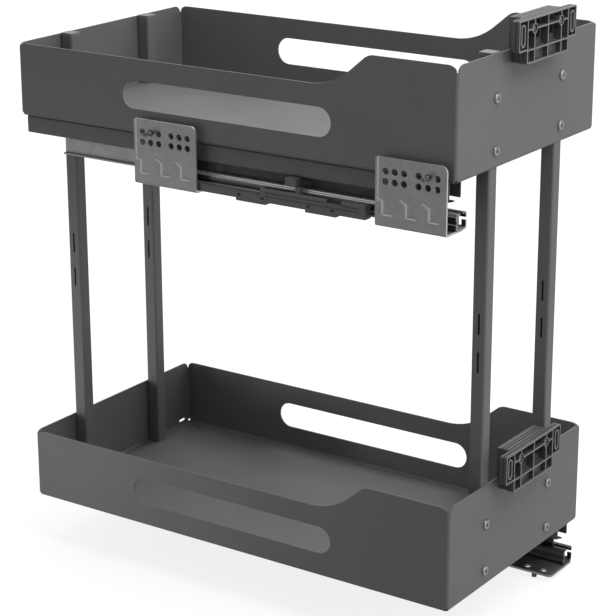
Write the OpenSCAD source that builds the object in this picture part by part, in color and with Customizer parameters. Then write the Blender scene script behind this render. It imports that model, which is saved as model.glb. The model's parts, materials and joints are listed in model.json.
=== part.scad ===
// Pull-out cabinet basket: two open trays carried on four square posts, hung on two concealed full-extension slides.
// Millimetres, +Z up. The door side faces -Y and the basket pulls out along -Y.
// The origin lies on the cabinet floor, at the centre of the floor brackets' row of screw holes.

/* [Trays] */
// Length of each tray, front to back
tray_length = 470; // [440:1:500]
// Width of each tray
tray_width = 245; // [225:1:270]
// Thickness of the tray sheet
tray_sheet = 1.5; // [1:0.1:2]
// Height of the low rim at the sides and back
side_height = 68; // [62:1:80]
// Height of the front plate and of the raised front of the sides
front_height = 98; // [94:1:120]
// Rise from the lower tray's underside to the upper tray's underside
tray_pitch = 384.5; // [340:0.5:440]
// Outer radius of the folded corners and of the folds round the floor
fold_radius = 3; // [2.5:0.1:5]
// Radius of the shoulders where the walls' rims dip to a notch at each corner
rim_radius = 6; // [2:0.5:8]

/* [Side rise] */
// Distance in front of the tray's middle where the rim starts to rise
rise_foot = 90; // [60:1:110]
// Slope of the steepest part of the rise, in degrees
rise_angle = 40; // [32:1:50]
// Radius at the foot of the rise
rise_foot_radius = 64; // [20:1:70]
// Radius at the crown of the rise
rise_crown_radius = 14; // [6:1:20]

/* [Side openings] */
// Length of the long opening in each side wall
side_slot_length = 225; // [120:1:280]
// Height of the long opening, which is also the diameter of its round ends
side_slot_height = 26; // [16:1:30]
// Height of the opening's middle above the tray's underside
side_slot_centre = 35.5; // [30:0.5:38]

/* [Posts] */
// Side of the square post tube
post_side = 13.5; // [12:0.5:18]
// Wall of the post tube
post_wall = 1.2; // [1:0.1:2]
// Radius on the post's long edges
post_radius = 2; // [1.5:0.1:2.5]
// Distance between the posts' centre lines, across the tray
post_spacing = 115.5; // [100:0.5:150]
// Length of each hanging slot in a post
post_slot_length = 19.5; // [12:0.5:26]
// Width of each hanging slot in a post
post_slot_width = 2; // [1.5:0.1:3]
// Distance between the two hanging slots of a post
post_slot_pitch = 35; // [30:0.5:50]
// Height of the middle of the slot pair above the lower tray's underside
post_slot_middle = 230; // [150:1:260]
// How far the post stops below the rim of the upper tray's wall beside it
post_drop = 2; // [1:0.5:4]
// Thickness of the cap's head
cap_head = 2.8; // [2:0.1:4]

/* [Tray screws] */
// Height of a wall's lower screws above the tray's underside
screw_low = 15.5; // [12:0.5:18]
// Height from the lower to the upper screws of a wall
screw_rise = 45; // [36:0.5:47]
// Diameter of the screw's shank
screw_shank = 4; // [3:0.1:5]
// Diameter of the screw's head
screw_head = 9; // [7:0.1:10]
// Height of the screw's head
screw_head_height = 2.2; // [1.5:0.1:3]
// Length of the screw's shank under the head
screw_reach = 9; // [6:0.5:11]

/* [Cabinet] */
// Clearance between the trays' sides and the cabinet side that the upper brackets screw to
side_clearance = 8.7; // [8.4:0.1:20]
// Distance from the cabinet floor to the lower tray's underside
floor_gap = 43.5; // [43:0.1:50]
// Distance between the front and rear brackets, in steps of the 32 mm hole line
bracket_pitch = 256; // [224:32:288]
// Distance between the middles of a bracket's two hole groups
group_pitch = 32; // [30:0.5:34]
// Distance from the cabinet's front edge to the front hole group
front_setback = 37; // [36:0.5:38]

/* [Upper brackets] */
// Length of each upper bracket along the slide
bracket_length = 69; // [66:0.5:72]
// Height of each upper bracket
bracket_height = 60; // [58:0.1:66]
// Thickness of the bracket sheet
bracket_sheet = 2; // [1.5:0.1:2.5]
// Radius of the upper bracket's front top corner
bracket_radius = 5.5; // [2:0.5:8]
// Radius of the upper bracket's rear top corner
bracket_rear_radius = 2.5; // [1:0.5:6]
// Diameter of the upper bracket's screw holes
bracket_hole = 6; // [5:0.1:7]
// Distance between neighbouring holes in a group
hole_pitch = 9; // [8:0.5:10]
// Depth of the upper hole row below the bracket's top edge
hole_drop = 11.6; // [9:0.1:14]
// Distance from the bracket's front edge to its first column of holes
bracket_margin = 9; // [7:0.5:10]

/* [Floor brackets] */
// Length of each floor bracket along the slide
floor_bracket_length = 70.5; // [68:0.5:80]
// How far the floor bracket reaches past the cabinet rail
floor_reach = 28.5; // [28:0.5:40]
// Distance from the bracket's free edge to its row of screw holes
floor_hole_inset = 8.5; // [8:0.5:13]
// Distance between the two holes of one floor bracket
floor_hole_pitch = 17.4; // [15:0.1:20]
// Distance from the front bracket's front edge to its first hole
floor_hole_start = 11.5; // [10:0.5:14]
// Diameter of the floor bracket's screw holes
floor_hole = 6.2; // [4.5:0.1:7]
// Radius of the floor bracket's corners
floor_corner = 4; // [2:0.5:6]
// Diameter of the locating peg under each floor bracket
peg_diameter = 5; // [4:0.1:6]
// Length of the peg below the bracket
peg_length = 5.5; // [3:0.5:9]

/* [Slides] */
// Distance from a tray's side to the centre line of the slide under it
slide_inset = 13.1; // [12.7:0.1:16]
// Width of the drawer rail under a tray
drawer_rail_width = 20; // [19:0.1:21]
// Height of the drawer rail
drawer_rail_height = 16.6; // [16:0.1:18]
// Sheet of the drawer rail
drawer_rail_sheet = 1.2; // [1:0.1:1.4]
// Width of the cabinet rail
cabinet_rail_width = 16; // [15.5:0.1:16.4]
// Height of the cabinet rail
cabinet_rail_height = 15; // [14.5:0.1:17]
// Length of the cabinet rail
cabinet_rail_length = 326; // [320:1:340]
// Sheet of the cabinet rail
cabinet_rail_sheet = 1.5; // [1.3:0.1:1.7]
// Length of the middle rail, without its nose
middle_rail_length = 410; // [390:1:415]
// Thickness of the middle rail's web
middle_web = 2.4; // [2:0.1:2.8]
// Thickness of the middle rail's flanges
middle_flange = 1.5; // [1.2:0.1:1.7]
// Diameter of the load rollers
roller_diameter = 5.9; // [5.4:0.1:6]
// Length of each roller cage
cage_length = 170; // [120:1:180]
// Running clearance between moving pieces
running_gap = 0.3; // [0.25:0.05:0.35]

/* [Door brackets] */
// Width of the door adapter plate
door_plate_width = 101; // [96:1:112]
// Depth of the door adapter plate
door_plate_depth = 7; // [6:0.5:9]
// Height of the door adapter plate's wide upper part
door_plate_height = 26.6; // [25:0.1:32]
// How far the adapter's narrow lower part hangs over the tray's front
door_plate_apron = 11.5; // [9:0.5:14]
// Width of the adapter's narrow lower part
door_apron_width = 73; // [68:1:80]
// Distance from the tray's front plate to the back of the door
door_gap = 15.6; // [15:0.1:20]
// Width of the clip body behind the adapter plate
door_clip_width = 67; // [64:1:72]
// Distance between the adapter's two door screw slots
door_slot_spacing = 87; // [84:0.5:89]
// Length of each door screw slot
door_slot_length = 16.4; // [12:0.2:18]
// Width of each door screw slot
door_slot_width = 4.2; // [3.8:0.1:5]
// Distance between the two screws that hold an adapter to its clip
door_screw_spacing = 47; // [42:0.5:50]

/* [Soft close] */
// Travel of the soft-close catch
catch_travel = 40; // [30:1:42]
// Length of the soft-close housing's deep front part
housing_length = 108; // [104:1:112]
// Height of the soft-close housing
housing_height = 12.5; // [12:0.1:13.5]
// Width of the soft-close housing
housing_width = 9.8; // [9.4:0.1:10]
// Length of the damper case behind the housing
damper_case_length = 72; // [66:1:76]
// Outer diameter of the damper cylinder
damper_diameter = 5; // [4.6:0.1:5.4]
// Diameter of the damper's rod
damper_rod = 2; // [1.5:0.1:2.4]

/* [Hidden] */
$fn = 48;

// Overrun that takes a cut past the face it opens
cut = 1;
// Number of straight steps in an outline's drawn arc
arc_steps = 14;
coat = "#3f4144";
dark_coat = "#333538";
zinc = "#9ea2a6";
dark_plastic = "#3a3c3f";
cap_grey = "#a6a8aa";
steel = "#b4b7ba";

// Trays
rise_tail = (front_height - side_height - (rise_foot_radius + rise_crown_radius) * (1 - cos(rise_angle)))
    / sin(rise_angle);
rise_run = (rise_foot_radius + rise_crown_radius) * sin(rise_angle) + rise_tail * cos(rise_angle);
post_hole_gap = 0.25;
hook_slot_width = 10.6;
hook_slot_height = 3;
hook_slot_base = fold_radius + tray_sheet / 3;
notch_width = 0.8;
slide_offset = tray_width / 2 - slide_inset;
cabinet_half = tray_width / 2 + side_clearance;

// Posts: their centre lines, front and rear
post_x = post_spacing / 2;
post_y = tray_length / 2 - tray_sheet - post_side / 2;
cap_fit = 0.1;
// The cap's plug ends just above the upper screws in the low rear posts
cap_plug = side_height - post_drop - screw_low - screw_rise - screw_shank / 2 - cap_fit;
screw_fit = 0.1;
screw_dome = 0.8;

// Cabinet: the slides' height range and the brackets' places, in the tray frame
door_plane = -tray_length / 2 - door_gap;
front_group_y = door_plane + front_setback;
bracket_front = front_group_y - hole_pitch - bracket_margin;
slide_base = -floor_gap + bracket_sheet;
cabinet_rail_top = slide_base + cabinet_rail_height;
rail_lead = 1.9;
cabinet_rail_front = bracket_front - rail_lead;
floor_lead = 1;
floor_front = cabinet_rail_front - floor_lead;

// Slide sections, with z measured from the tray's underside
lip_gap = 1;
rail_slot_half = middle_web / 2 + lip_gap;
drawer_inner_half = drawer_rail_width / 2 - drawer_rail_sheet;
cabinet_inner_half = cabinet_rail_width / 2 - cabinet_rail_sheet;
roller_space = roller_diameter + 2 * running_gap;
lower_flange_bottom = slide_base + cabinet_rail_sheet + roller_space;
lower_flange_top = lower_flange_bottom + middle_flange;
upper_flange_top = -drawer_rail_sheet - roller_space;
upper_flange_bottom = upper_flange_top - middle_flange;
cage_side = 1.3;
lower_flange_half = cabinet_inner_half - cage_side - 2 * running_gap;
upper_flange_half = drawer_inner_half - cage_side - 2 * running_gap;
lower_guide_space = cabinet_rail_top - cabinet_rail_sheet - lower_flange_top;
upper_guide_space = upper_flange_bottom + drawer_rail_height - drawer_rail_sheet;
middle_setback = 15.5;
middle_front = cabinet_rail_front + middle_setback;
nose_length = 8.5;
nose_height = 3.6;
nose_tip = 0.8;
nose_drop = 0.5;
drawer_rail_front_inset = 8.4;
drawer_rail_rear_inset = 5;
drawer_rail_front = -tray_length / 2 + drawer_rail_front_inset;
drawer_rail_rear = tray_length / 2 - drawer_rail_rear_inset;
drawer_rail_relief = 14;
bead_shares = [0.27, 0.73];
bead_height = 4.6;
bead_depth = 1.1;
rail_radius = 2;
bayonet_length = 7.1;
bayonet_height = 2.5;
bayonet_leg = 3.1;
bayonet_drop = 7.6;
bayonet_rise = 7.4;

// Roller cages
cage_plate = 1.4;
pocket_gap = 0.3;
load_rollers = 4;
base_cage_setback = 128.5;
base_cage_front = cabinet_rail_front + base_cage_setback;
top_cage_setback = 131.6;
top_cage_front = drawer_rail_front + top_cage_setback;

// Soft close, with x measured from the slide's centre line
housing_inner = cabinet_rail_width / 2 + bead_depth + running_gap;
housing_setback = 82.5;
housing_front = cabinet_rail_front + housing_setback;
housing_nose_radius = 3;
housing_rear = housing_front + housing_length;
housing_top = slide_base + housing_height;
housing_wall = 1.9;
housing_floor = 1.5;
housing_middle = housing_inner + housing_width / 2;
case_width = 7;
case_height = 6.6;
lug_length = 31.5;
lug_height = 8;
lug_hole_width = 2.2;
lug_hole_length = 4;
lug_hole_depth = 1.6;
lug_hole_pitch = 24.6;
lug_hole_rise = 3.5;
lug_setbacks = [45, 118];
groove_shares = [0.42, 0.68];
groove_depth = 0.7;
groove_height = 1.4;
catch_width = housing_width - 2 * housing_wall - 2 * running_gap;
catch_length = 12;
catch_setback = 68;
catch_front = housing_front + catch_setback;
park_notch_length = 15;
park_notch_drop = 3;
hook_rise = 5;
hook_length = 4;
rod_lift = 2;
rod_height = slide_base + housing_floor + rod_lift;
damper_bore = 58;
spring_wire = 0.7;
spring_coil = 1.75;
spring_turns = 11;
spring_ring_steps = 10;
spring_sides = 6;
activator_sheet = 1.6;
activator_length = 11;

// Door brackets
rib = 1.4;
loop_wall = 1.5;
door_web = 1.5;
apron_web = 2.6;
door_slot_height = front_height + door_plate_height / 2;
door_screw_drop = 9.6;
door_screw_height = front_height + door_plate_height - door_screw_drop;
door_boss = 9;
door_boss_seat = 3;
door_screw_shank = 3.5;
door_screw_head = 6.6;
door_screw_reach = 11;
edge_groove_place = 3;
edge_groove_width = 1.2;
edge_groove_depth = 0.8;
clip_leg = 3;
clip_gap = 1;
clip_depth = 11.3;
clip_fit = 0.1;
clip_pocket = 3.5;
clip_groove = 1;

// Places the tray frame in the part's own frame
floor_hole_x = slide_offset - cabinet_rail_width / 2 - floor_reach + floor_hole_inset;
floor_row_y = floor_front + floor_hole_start + (floor_hole_pitch + bracket_pitch) / 2;
module in_cabinet() {
    translate([-floor_hole_x, -floor_row_y, floor_gap]) children();
}
module upper_level() {
    in_cabinet() translate([0, 0, tray_pitch]) children();
}
module lower_level() {
    in_cabinet() children();
}
module upper_slide() {
    upper_level() translate([-slide_offset, 0, 0]) children();
}
module lower_slide() {
    lower_level() translate([slide_offset, 0, 0]) children();
}

// Points of an arc round a centre, from one angle to another
function arc(centre, radius, from, to) =
    [for (i = [0 : arc_steps]) centre + radius * [cos(from + (to - from) * i / arc_steps),
                                                  sin(from + (to - from) * i / arc_steps)]];

// A centred rectangle with round corners
module rounded_rect(width, height, radius) {
    square([width - 2 * radius, height], center = true);
    square([width, height - 2 * radius], center = true);
    for (x = [-1, 1], y = [-1, 1])
        translate([x * (width / 2 - radius), y * (height / 2 - radius)]) circle(radius);
}

// A slot with round ends, longer along y
module obround(width, length) {
    square([width, length - width], center = true);
    for (y = [-1, 1]) translate([0, y * (length - width) / 2]) circle(width / 2);
}

// Extrudes an outline drawn in (x, z) from y0 to y1
module along_y(y0, y1) {
    translate([0, y1, 0]) rotate([90, 0, 0]) linear_extrude(y1 - y0) children();
}

// Extrudes an outline drawn in (y, z) from x0 to x1
module along_x(x0, x1) {
    translate([x0, 0, 0]) rotate([90, 0, 90]) linear_extrude(x1 - x0) children();
}

// A cylinder along x or y between two places
module rod_x(x0, x1, diameter) {
    along_x(x0, x1) circle(diameter / 2);
}
module rod_y(y0, y1, diameter) {
    along_y(y0, y1) circle(diameter / 2);
}

// Folded tray

// An open box with rounded upright edges and rounded folds round its floor, open at the four floor corners
module folded_box(width, length, height, radius) {
    translate([0, 0, radius]) linear_extrude(height - radius) rounded_rect(width, length, radius);
    linear_extrude(radius) square([width - 2 * radius, length - 2 * radius], center = true);
    for (side = [-1, 1]) {
        translate([side * (width / 2 - radius), 0, radius])
            rod_y(-length / 2 + radius, length / 2 - radius, 2 * radius);
        translate([0, side * (length / 2 - radius), radius])
            rod_x(-width / 2 + radius, width / 2 - radius, 2 * radius);
    }
}

// The walls' outline from the side: low at the back, with a smooth rise to the front
module side_outline() {
    crown_y = -rise_foot - rise_run;
    polygon(concat(
        [[-tray_length / 2 - cut, -cut], [-tray_length / 2 - cut, front_height]],
        arc([crown_y, front_height - rise_crown_radius], rise_crown_radius, 90, 90 - rise_angle),
        arc([-rise_foot, side_height + rise_foot_radius], rise_foot_radius, 270 - rise_angle, 270),
        [[tray_length / 2 + cut, side_height], [tray_length / 2 + cut, -cut]]));
}

// What is cut away beside a round corner whose tip lies at the origin
module corner_offcut(radius) {
    difference() {
        translate([-radius, -radius]) square(radius + cut);
        translate([-radius, -radius]) circle(radius);
    }
}

// The notch at an upright fold, cut across the corner, where both walls' rims dip with round shoulders
module rim_notch(height) {
    translate([tray_width / 2, tray_length / 2, height]) rotate(-45) along_y(-2 * rim_radius, cut) {
        translate([0, (cut - rim_radius) / 2]) square([notch_width, rim_radius + cut], center = true);
        translate([-notch_width / 2, 0]) corner_offcut(rim_radius);
        translate([notch_width / 2, 0]) mirror([1, 0]) corner_offcut(rim_radius);
    }
}

module wall_screw_places() {
    for (x = [-post_x, post_x], z = [screw_low, screw_low + screw_rise])
        translate([x, 0, z]) children();
}

// slide_side is the side that the slide runs on: -1 for left, 1 for right
module tray(slide_side, posts_pass) {
    difference() {
        intersection() {
            difference() {
                folded_box(tray_width, tray_length, front_height, fold_radius);
                translate([0, 0, tray_sheet])
                    folded_box(tray_width - 2 * tray_sheet, tray_length - 2 * tray_sheet,
                        front_height, fold_radius - tray_sheet);
            }
            along_x(-tray_width / 2 - cut, tray_width / 2 + cut) side_outline();
        }
        for (side = [-1, 1]) {
            scale([side, 1, 1]) rim_notch(side_height);
            scale([side, -1, 1]) rim_notch(front_height);
        }
        translate([0, 0, side_slot_centre])
            along_x(-tray_width / 2 - cut, tray_width / 2 + cut)
                rotate(90) obround(side_slot_height, side_slot_length);
        wall_screw_places() {
            rod_y(-tray_length / 2 - cut, -tray_length / 2 + tray_sheet + cut, screw_shank + 2 * screw_fit);
            rod_y(tray_length / 2 - tray_sheet - cut, tray_length / 2 + cut, screw_shank + 2 * screw_fit);
        }
        if (posts_pass)
            for (x = [-post_x, post_x], y = [-post_y, post_y])
                translate([x, y, -cut]) linear_extrude(tray_sheet + 2 * cut)
                    square(post_side + 2 * post_hole_gap, center = true);
        translate([slide_side * slide_offset, 0, hook_slot_base + hook_slot_height / 2])
            along_y(tray_length / 2 - tray_sheet - cut, tray_length / 2 + cut)
                rotate(90) obround(hook_slot_height, hook_slot_width);
        for (y = rivet_places)
            translate([slide_side * slide_offset, y, -cut])
                cylinder(h = tray_sheet + 2 * cut, d = rivet_shank + 2 * screw_fit);
    }
}

module upper_tray() {
    color(coat) upper_level() tray(-1, true);
}
module lower_tray() {
    color(coat) lower_level() tray(1, false);
}

// Posts, caps and tray screws
post_foot = tray_sheet;
front_post_top = tray_pitch + front_height - post_drop;
rear_post_top = tray_pitch + side_height - post_drop;

module post(x, y, top) {
    outward = sign(y);
    in_cabinet() translate([x, y, 0]) difference() {
        translate([0, 0, post_foot]) linear_extrude(top - post_foot) difference() {
            rounded_rect(post_side, post_side, post_radius);
            rounded_rect(post_side - 2 * post_wall, post_side - 2 * post_wall, post_radius - post_wall);
        }
        for (z = [-1, 1])
            translate([0, 0, post_slot_middle + z * post_slot_pitch / 2])
                along_x(-post_side / 2 - cut, post_side / 2 + cut) obround(post_slot_width, post_slot_length);
        for (level = [0, tray_pitch], z = [screw_low, screw_low + screw_rise])
            translate([0, 0, level + z])
                rod_y(min(0, outward * (post_side / 2 + cut)), max(0, outward * (post_side / 2 + cut)),
                    screw_shank + 2 * screw_fit);
    }
}
module post_front_left() {
    color(coat) post(-post_x, -post_y, front_post_top);
}
module post_front_right() {
    color(coat) post(post_x, -post_y, front_post_top);
}
module post_rear_left() {
    color(coat) post(-post_x, post_y, rear_post_top);
}
module post_rear_right() {
    color(coat) post(post_x, post_y, rear_post_top);
}

module post_cap() {
    linear_extrude(cap_head) rounded_rect(post_side, post_side, post_radius);
    plug = post_side - 2 * post_wall - 2 * cap_fit;
    translate([0, 0, -cap_plug]) linear_extrude(cap_plug + cap_fit)
        rounded_rect(plug, plug, post_radius - post_wall);
}
module post_caps() {
    color(cap_grey) in_cabinet() for (x = [-post_x, post_x]) {
        translate([x, -post_y, front_post_top]) post_cap();
        translate([x, post_y, rear_post_top]) post_cap();
    }
}

// A pan-head screw whose head sits on y = 0 and points to -y
module pan_screw(head, head_height, shank, reach) {
    rod_y(-head_height + screw_dome, 0, head);
    rod_y(-head_height, 0, head - 2 * screw_dome);
    rod_y(-head_height / 2, reach, shank);
}
module tray_screws() {
    wall_screw_places() for (side = [-1, 1])
        scale([1, side, 1]) translate([0, -tray_length / 2, 0])
            pan_screw(screw_head, screw_head_height, screw_shank, screw_reach);
}
module upper_tray_screws() {
    color(steel) upper_level() tray_screws();
}
module lower_tray_screws() {
    color(steel) lower_level() tray_screws();
}

// Door brackets: a clip over the front plate's rim and a ribbed adapter plate that the door screws to

door_plate_top = front_height + door_plate_height;
door_plate_back = door_plane + door_plate_depth;

module door_plate_outline() {
    translate([0, front_height + door_plate_height / 2])
        rounded_rect(door_plate_width, door_plate_height, rib);
    translate([0, front_height])
        rounded_rect(door_apron_width, 2 * door_plate_apron, rib);
}
module door_screw_places() {
    for (side = [-1, 1]) translate([side * door_screw_spacing / 2, 0, door_screw_height]) children();
}
module door_slot_places() {
    for (side = [-1, 1]) translate([side * door_slot_spacing / 2, door_slot_height]) children();
}
// Upright ribs at the middle, through the screw bosses and in line with the apron's ends, and two level ribs
module door_plate_ribs() {
    for (x = [0, door_screw_spacing / 2, (door_apron_width - rib) / 2], side = [-1, 1])
        translate([side * x - rib / 2, front_height - door_plate_apron])
            square([rib, door_plate_height + door_plate_apron]);
    for (z = [front_height, door_screw_height])
        translate([-door_apron_width / 2, z - rib / 2]) square([door_apron_width, rib]);
    door_slot_places() obround(door_slot_width + 2 * loop_wall, door_slot_length + 2 * loop_wall);
    for (side = [-1, 1]) translate([side * door_screw_spacing / 2, door_screw_height]) circle(door_boss / 2);
}
module pocketed(front, back, middle, width, height) {
    along_y(front, back) difference() {
        translate([0, middle]) square([width - 2 * rib, height - 2 * rib], center = true);
        door_plate_ribs();
    }
}
module door_plate() {
    difference() {
        along_y(door_plane, door_plate_back) door_plate_outline();
        pocketed(door_plane - cut, door_plate_back - door_web, front_height + door_plate_height / 2,
            door_plate_width, door_plate_height);
        pocketed(door_plane - cut, door_plate_back - apron_web, front_height,
            door_apron_width, 2 * door_plate_apron);
        along_y(door_plane - cut, door_plate_back + cut)
            door_slot_places() obround(door_slot_width, door_slot_length);
        pocketed(door_plane - cut, door_plate_back + cut, front_height + door_plate_height / 2,
            door_clip_width, door_plate_height);
        door_screw_places() {
            rod_y(door_plane - cut, door_plane + door_boss_seat, door_boss - 2 * screw_dome);
            rod_y(door_plane, door_plate_back + cut, door_screw_shank + 2 * screw_fit);
        }
        along_y(door_plane + edge_groove_place, door_plane + edge_groove_place + edge_groove_width) difference() {
            offset(delta = cut) door_plate_outline();
            offset(delta = -edge_groove_depth) door_plate_outline();
        }
    }
}

clip_front = door_plate_back;
clip_seat = -tray_length / 2;
clip_back = clip_front + clip_gap + clip_depth;
module door_clip_profile() {
    polygon([
        [clip_front + clip_gap, door_plate_top], [clip_back, door_plate_top],
        [clip_back, front_height - 2 * clip_leg],
        [clip_seat + tray_sheet + clip_fit, front_height - 2 * clip_leg],
        [clip_seat + tray_sheet + clip_fit, front_height + clip_fit],
        [clip_seat - clip_fit, front_height + clip_fit],
        [clip_seat - clip_fit, front_height - door_plate_apron],
        [clip_front, front_height - door_plate_apron],
        [clip_front, front_height + clip_leg], [clip_front + clip_gap, front_height + clip_leg + clip_gap]]);
}
module door_clip() {
    pocket_width = (door_clip_width - 4 * 2 * rib) / 3;
    difference() {
        union() {
            along_x(-door_clip_width / 2, door_clip_width / 2) door_clip_profile();
            door_screw_places() rod_y(clip_front, clip_front + clip_leg, door_boss);
        }
        for (i = [-1, 0, 1])
            translate([i * (pocket_width + 2 * rib) - pocket_width / 2, clip_seat + tray_sheet + clip_fit,
                       front_height + clip_leg])
                cube([pocket_width, clip_depth, door_plate_height - 2 * clip_leg]);
        for (i = [1, 2])
            translate([-door_clip_width / 2 - cut, clip_front + clip_gap + i * clip_leg, door_plate_top - clip_groove])
                cube([door_clip_width + 2 * cut, clip_groove, clip_groove + cut]);
        along_y(clip_front, clip_front + clip_gap + clip_pocket) difference() {
            translate([-door_clip_width / 2 + 2 * rib, front_height + 2 * clip_leg])
                square([door_clip_width - 4 * rib, door_plate_height - 3 * clip_leg]);
            door_plate_ribs();
        }
        door_screw_places()
            rod_y(clip_front - cut, door_plane + door_boss_seat + door_screw_reach + screw_dome,
                door_screw_shank + 2 * screw_fit);
    }
}
module upper_door_clip() {
    color(dark_plastic) upper_level() door_clip();
}
module lower_door_clip() {
    color(dark_plastic) lower_level() door_clip();
}
module upper_door_plate() {
    color(dark_plastic) upper_level() door_plate();
}
module lower_door_plate() {
    color(dark_plastic) lower_level() door_plate();
}
module door_screws() {
    door_screw_places() translate([0, door_plane + door_boss_seat, 0])
        pan_screw(door_screw_head, screw_head_height, door_screw_shank, door_screw_reach);
}
module door_plate_screws() {
    color(steel) {
        upper_level() door_screws();
        lower_level() door_screws();
    }
}

// Slide rails, drawn round the slide's centre line with z = 0 at the tray's underside

rivet_head = 7;
rivet_head_height = 0.8;
rivet_shank = 3.6;
// Shares of the tray's length at which the drawer rails are riveted on
rivet_shares = [-0.447, -0.298, 0.451];
rivet_places = rivet_shares * tray_length;

// A rail section with inward lips that leave a slot, open side up
module lipped_section(width, height, sheet) {
    difference() {
        rounded_rect(width, height, rail_radius);
        rounded_rect(width - 2 * sheet, height - 2 * sheet, rail_radius - sheet);
        translate([-rail_slot_half, 0]) square([2 * rail_slot_half, height / 2 + cut]);
    }
}
module drawer_rail() {
    difference() {
        along_y(drawer_rail_front, drawer_rail_rear)
            translate([0, -drawer_rail_height / 2]) mirror([0, 1])
                lipped_section(drawer_rail_width, drawer_rail_height, drawer_rail_sheet);
        translate([-drawer_inner_half, drawer_rail_front - cut, -drawer_rail_height - cut])
            cube([2 * drawer_inner_half, drawer_rail_relief + cut, drawer_rail_sheet + 2 * cut]);
        for (y = rivet_places)
            translate([0, y, -drawer_rail_sheet - cut])
                cylinder(h = drawer_rail_sheet + 2 * cut, d = rivet_shank + 2 * screw_fit);
    }
}
module upper_drawer_rail() {
    color(dark_coat) upper_slide() drawer_rail();
}
module lower_drawer_rail() {
    color(dark_coat) lower_slide() drawer_rail();
}
module rail_rivets() {
    for (y = rivet_places) translate([0, y, 0]) {
        translate([0, 0, tray_sheet]) cylinder(h = rivet_head_height, d = rivet_head);
        translate([0, 0, -drawer_rail_sheet]) cylinder(h = drawer_rail_sheet + tray_sheet + rivet_head_height / 2,
            d = rivet_shank);
        translate([0, 0, -drawer_rail_sheet - rivet_head_height]) cylinder(h = rivet_head_height, d = rivet_head);
    }
}
module drawer_rail_rivets() {
    color(dark_coat) {
        upper_slide() rail_rivets();
        lower_slide() rail_rivets();
    }
}

// The middle rail: an I section whose lower flange runs in the cabinet rail and upper flange in the drawer rail
module middle_section() {
    translate([-middle_web / 2, lower_flange_bottom])
        square([middle_web, upper_flange_top - lower_flange_bottom]);
    translate([-lower_flange_half, lower_flange_bottom]) square([2 * lower_flange_half, middle_flange]);
    translate([-upper_flange_half, upper_flange_bottom]) square([2 * upper_flange_half, middle_flange]);
}
module middle_nose() {
    top = -drawer_rail_height - nose_drop;
    polygon([[middle_front + cut, top], [middle_front - nose_length, top - nose_tip / 2],
             [middle_front - nose_length, top - nose_tip], [middle_front, top - nose_height],
             [middle_front + cut, top - nose_height]]);
}
module middle_rail() {
    along_y(middle_front, middle_front + middle_rail_length) middle_section();
    along_x(-middle_web / 2, middle_web / 2) middle_nose();
}
module upper_middle_rail() {
    color(zinc) upper_slide() middle_rail();
}
module lower_middle_rail() {
    color(zinc) lower_slide() middle_rail();
}

// The cabinet rail: a lipped channel with two rolled beads outside and a bayonet slot at its front end
module bayonet() {
    top = slide_base + bayonet_rise + bayonet_height;
    translate([cabinet_rail_front - cut, top - bayonet_height]) square([bayonet_length + cut, bayonet_height]);
    translate([cabinet_rail_front + bayonet_length - bayonet_leg, top - bayonet_drop])
        square([bayonet_leg, bayonet_drop]);
}
module cabinet_rail() {
    difference() {
        along_y(cabinet_rail_front, cabinet_rail_front + cabinet_rail_length) {
            translate([0, slide_base + cabinet_rail_height / 2])
                lipped_section(cabinet_rail_width, cabinet_rail_height, cabinet_rail_sheet);
            for (share = bead_shares)
                translate([-cabinet_rail_width / 2 + cabinet_rail_sheet / 2 - bead_depth / 2,
                           slide_base + share * cabinet_rail_height])
                    rounded_rect(cabinet_rail_sheet + bead_depth, bead_height, bead_depth);
        }
        along_x(cabinet_inner_half - cut, cabinet_rail_width / 2 + cut) bayonet();
        for (start = [0, bracket_pitch], y = rail_rivet_places)
            translate([0, start + y, slide_base - cut])
                cylinder(h = cabinet_rail_sheet + 2 * cut, d = rivet_shank + 2 * screw_fit);
    }
}
module upper_cabinet_rail() {
    color(zinc) upper_slide() cabinet_rail();
}
module lower_cabinet_rail() {
    color(zinc) lower_slide() cabinet_rail();
}

// Roller cages: a plastic carriage round each flange of the middle rail

roller_pitch = cage_length / load_rollers;
function roller_y(front, i) = front + (i + 0.5) * roller_pitch;

// The cage round the lower flange, with pockets for rollers under and over it
module base_cage() {
    axle = slide_base + cabinet_rail_sheet + roller_space / 2;
    top = lower_flange_top + running_gap;
    outer = cabinet_inner_half - running_gap;
    difference() {
        along_y(base_cage_front, base_cage_front + cage_length) {
            translate([-outer, axle - cage_plate / 2]) square([2 * outer, cage_plate]);
            for (side = [-1, 1]) translate([side * (outer - cage_side / 2) - cage_side / 2, axle])
                square([cage_side, cabinet_rail_top - cabinet_rail_sheet - running_gap - axle]);
        }
        for (i = [0 : load_rollers - 1])
            translate([0, roller_y(base_cage_front, i), axle])
                cube([2 * load_roller_half(cabinet_inner_half) + 2 * pocket_gap, roller_diameter + 2 * pocket_gap,
                      2 * cage_plate], center = true);
    }
}
function load_roller_half(inner) = inner - running_gap - cage_side - pocket_gap;
module base_rollers() {
    half = load_roller_half(cabinet_inner_half);
    guide = lower_guide_space - 2 * running_gap;
    for (i = [0 : load_rollers - 1]) translate([0, roller_y(base_cage_front, i), 0]) {
        translate([0, 0, slide_base + cabinet_rail_sheet + roller_space / 2]) rod_x(-half, half, roller_diameter);
        for (side = [-1, 1]) scale([side, 1, 1])
            translate([0, 0, lower_flange_top + lower_guide_space / 2])
                rod_x(middle_web / 2 + running_gap, half, guide);
    }
}

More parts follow.
